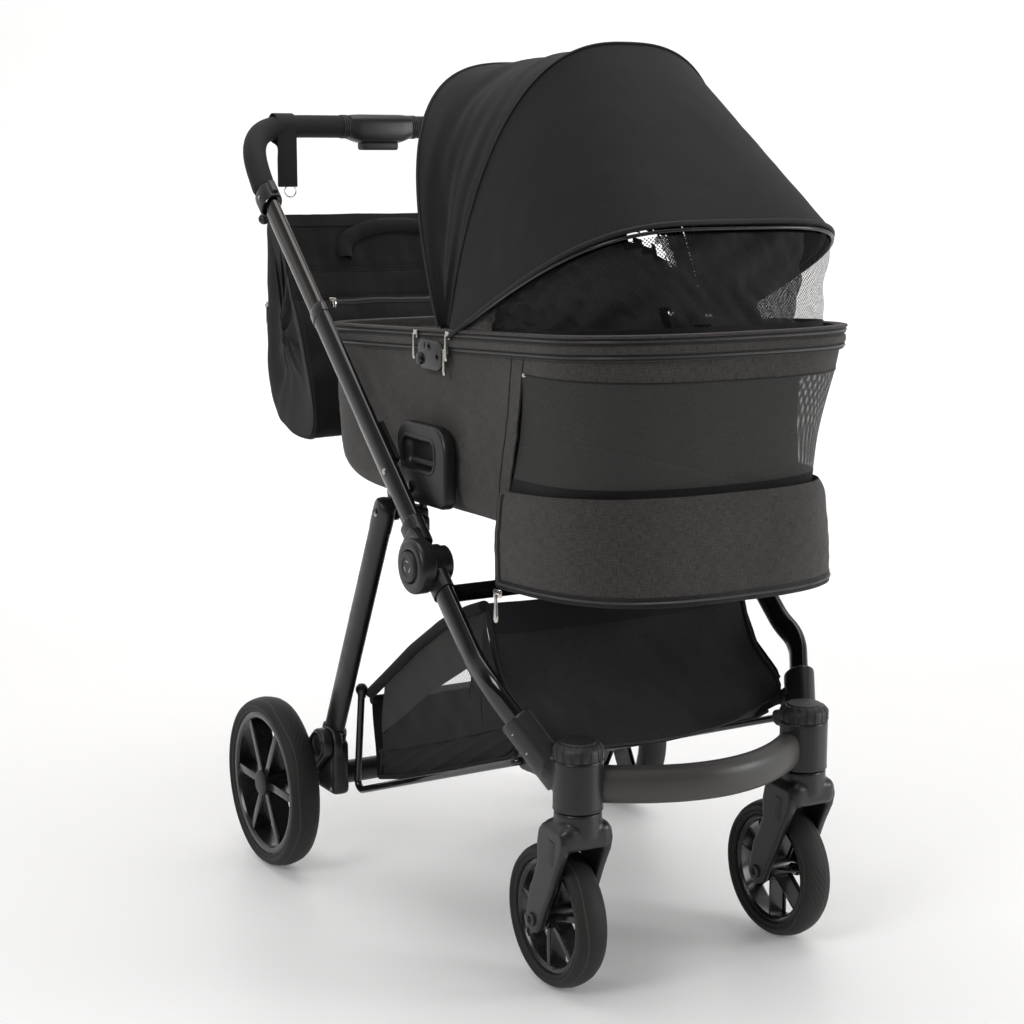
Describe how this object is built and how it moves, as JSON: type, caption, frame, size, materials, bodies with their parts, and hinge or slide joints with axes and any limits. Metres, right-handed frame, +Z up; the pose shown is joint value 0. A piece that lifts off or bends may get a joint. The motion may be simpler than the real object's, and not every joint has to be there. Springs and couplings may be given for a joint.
{
  "type": "pet stroller",
  "caption": "Folding pet stroller with a lift-off carrycot under a folding hood, swivelling front casters, telescopic push handle, under-basket and a hanging bag.",
  "frame": {"origin": "on the floor, under the middle of the bounding box", "axes": "+Z up, -Y the way the stroller faces, +X to the right of a person facing along +Y"},
  "size_m": [0.6188, 0.9745, 1.1315],
  "materials": {
    "charcoal_fabric": "plain woven polyester, matt",
    "black_fabric": "plain woven polyester, matt",
    "black_mesh": "open net, see-through",
    "matt_plastic": "fine moulded texture",
    "gloss_plastic": "polished moulding",
    "gloss_tube": "gloss black powder coat",
    "black_chrome": "polished dark chrome",
    "tyre_rubber": "matt rubber with a sipe pattern",
    "grip_wrap": "ribbed wrap with a sewn seam",
    "steel": "drawn wire"
  },
  "bodies": {
    "front_frame": {"front_leg_left": "gloss_tube", "front_leg_right": "gloss_tube", "caster_housing_left": "matt_plastic", "caster_housing_right": "matt_plastic", "front_crossbar": "matt_plastic", "leg_cross_tube": "gloss_tube"},
    "push_frame": {"push_tube_left": "gloss_tube", "push_tube_right": "gloss_tube", "hub_cover_left": "matt_plastic", "hub_cover_right": "matt_plastic", "leg_bracket_left": "matt_plastic", "leg_bracket_right": "matt_plastic"},
    "rear_frame": {"rear_leg_left": "gloss_tube", "rear_leg_right": "gloss_tube", "rear_beam": "matt_plastic"},
    "brake": {"brake_pedal": "matt_plastic"},
    "handle": {"handle_tube": "black_chrome", "fold_housing": "matt_plastic", "hang_strap": "black_fabric", "bag": "black_fabric", "grip_left": "grip_wrap", "grip_right": "grip_wrap", "tube_clamp_left": "matt_plastic", "tube_clamp_right": "matt_plastic"},
    "trigger": {"fold_trigger": "matt_plastic"},
    "carrycot": {"cot_shell": "charcoal_fabric", "cot_rim": "charcoal_fabric", "mattress": "black_fabric", "rear_cover": "charcoal_fabric", "front_flap": "charcoal_fabric", "hood_back": "charcoal_fabric", "cot_mount_left": "matt_plastic", "cot_mount_right": "matt_plastic"},
    "hood_middle": {"middle_bow": "steel", "hood_rear": "charcoal_fabric"},
    "hood_visor": {"front_bow": "steel", "hood_front": "charcoal_fabric", "mesh_visor": "black_mesh"},
    "basket_frame": {"basket_rail_left": "gloss_tube", "basket_rail_right": "gloss_tube", "basket": "black_fabric"},
    "knob_left": {"swivel_knob_left": "matt_plastic"},
    "caster_left": {"caster_fork_left": "matt_plastic"},
    "front_wheel_left": {"front_tyre_left": "tyre_rubber", "front_rim_left": "gloss_plastic"},
    "suspension_left": {"suspension_arm_left": "matt_plastic"},
    "rear_wheel_left": {"rear_tyre_left": "tyre_rubber", "rear_rim_left": "gloss_plastic"},
    "button_left": {"hub_button_left": "matt_plastic"},
    "lever_left": {"release_lever_left": "matt_plastic"},
    "knob_right": {"swivel_knob_right": "matt_plastic"},
    "caster_right": {"caster_fork_right": "matt_plastic"},
    "front_wheel_right": {"front_tyre_right": "tyre_rubber", "front_rim_right": "gloss_plastic"},
    "suspension_right": {"suspension_arm_right": "matt_plastic"},
    "rear_wheel_right": {"rear_tyre_right": "tyre_rubber", "rear_rim_right": "gloss_plastic"},
    "button_right": {"hub_button_right": "matt_plastic"},
    "lever_right": {"release_lever_right": "matt_plastic"}
  },
  "joints": [
    {"name": "fold", "type": "hinge", "parent": "front_frame", "child": "push_frame", "pos_m": [0, -0.13275, 0.492], "axis": [1, 0, 0], "range_deg": [0, 26]},
    {"name": "rear_leg_fold", "type": "hinge", "parent": "push_frame", "child": "rear_frame", "pos_m": [0, -0.00275, 0.54], "axis": [1, 0, 0], "range_deg": [-19, 0.1]},
    {"name": "basket_fold", "type": "hinge", "parent": "front_frame", "child": "basket_frame", "pos_m": [0, -0.29975, 0.277], "axis": [1, 0, 0], "range_deg": [-0.1, 10]},
    {"name": "swivel_lock_left", "type": "hinge", "parent": "front_frame", "child": "knob_left", "pos_m": [-0.167, -0.37875, 0.297], "axis": [0, 0, 1], "range_deg": [0, 90]},
    {"name": "swivel_left", "type": "hinge", "parent": "front_frame", "child": "caster_left", "pos_m": [-0.167, -0.37875, 0.2355], "axis": [0, 0, 1], "continuous": true},
    {"name": "front_roll_left", "type": "hinge", "parent": "caster_left", "child": "front_wheel_left", "pos_m": [-0.167, -0.33275, 0.0888], "axis": [1, 0, 0], "continuous": true},
    {"name": "suspension_left", "type": "hinge", "parent": "rear_frame", "child": "suspension_left", "pos_m": [-0.252, 0.15325, 0.192], "axis": [1, 0, 0], "range_deg": [0, 6], "stiffness_Nm_per_rad": 150, "springref_deg": -3.44},
    {"name": "rear_roll_left", "type": "hinge", "parent": "suspension_left", "child": "rear_wheel_left", "pos_m": [-0.2884, 0.24175, 0.12], "axis": [1, 0, 0], "continuous": true},
    {"name": "hub_button_left", "type": "slide", "parent": "push_frame", "child": "button_left", "axis": [1, 0, 0], "range_m": [0, 0.003], "stiffness_N_per_m": 800},
    {"name": "release_lever_left", "type": "slide", "parent": "carrycot", "child": "lever_left", "axis": [0, 0, 1], "range_m": [0, 0.006], "stiffness_N_per_m": 500},
    {"name": "swivel_lock_right", "type": "hinge", "parent": "front_frame", "child": "knob_right", "pos_m": [0.167, -0.37875, 0.297], "axis": [0, 0, 1], "range_deg": [0, 90]},
    {"name": "swivel_right", "type": "hinge", "parent": "front_frame", "child": "caster_right", "pos_m": [0.167, -0.37875, 0.2355], "axis": [0, 0, 1], "continuous": true},
    {"name": "front_roll_right", "type": "hinge", "parent": "caster_right", "child": "front_wheel_right", "pos_m": [0.167, -0.33275, 0.0888], "axis": [1, 0, 0], "continuous": true},
    {"name": "suspension_right", "type": "hinge", "parent": "rear_frame", "child": "suspension_right", "pos_m": [0.252, 0.15325, 0.192], "axis": [1, 0, 0], "range_deg": [0, 6], "stiffness_Nm_per_rad": 150, "springref_deg": -3.44},
    {"name": "rear_roll_right", "type": "hinge", "parent": "suspension_right", "child": "rear_wheel_right", "pos_m": [0.2884, 0.24175, 0.12], "axis": [1, 0, 0], "continuous": true},
    {"name": "hub_button_right", "type": "slide", "parent": "push_frame", "child": "button_right", "axis": [-1, 0, 0], "range_m": [0, 0.003], "stiffness_N_per_m": 800},
    {"name": "release_lever_right", "type": "slide", "parent": "carrycot", "child": "lever_right", "axis": [0, 0, 1], "range_m": [0, 0.006], "stiffness_N_per_m": 500},
    {"name": "brake_pedal", "type": "hinge", "parent": "rear_frame", "child": "brake", "pos_m": [0, 0.16725, 0.141], "axis": [-1, 0, 0], "range_deg": [0, 20]},
    {"name": "handle_telescope", "type": "slide", "parent": "push_frame", "child": "handle", "axis": [0, 0.7392, 0.6735], "range_m": [-0.02, 0.08]},
    {"name": "fold_trigger", "type": "slide", "parent": "handle", "child": "trigger", "axis": [0, 0, 1], "range_m": [0, 0.0045], "stiffness_N_per_m": 600},
    {"name": "cot_lift_off", "type": "slide", "parent": "push_frame", "child": "carrycot", "axis": [0, 0, 1], "range_m": [0, 0.12]},
    {"name": "hood_middle_bow", "type": "hinge", "parent": "carrycot", "child": "hood_middle", "pos_m": [0, -0.11275, 0.765], "axis": [-1, 0, 0], "range_deg": [-0.1, 28.1], "deforming": ["hood_rear"]},
    {"name": "hood_front_bow", "type": "hinge", "parent": "hood_middle", "child": "hood_visor", "pos_m": [0, -0.11275, 0.765], "axis": [-1, 0, 0], "range_deg": [0, 32], "deforming": ["hood_front", "mesh_visor"]}
  ],
  "couplings": [
    {"joint": "rear_leg_fold", "follows": "fold", "ratio": -0.71},
    {"joint": "basket_fold", "follows": "fold", "ratio": 0.363},
    {"joint": "hood_middle_bow", "follows": "hood_front_bow", "ratio": 0.875}
  ]
}
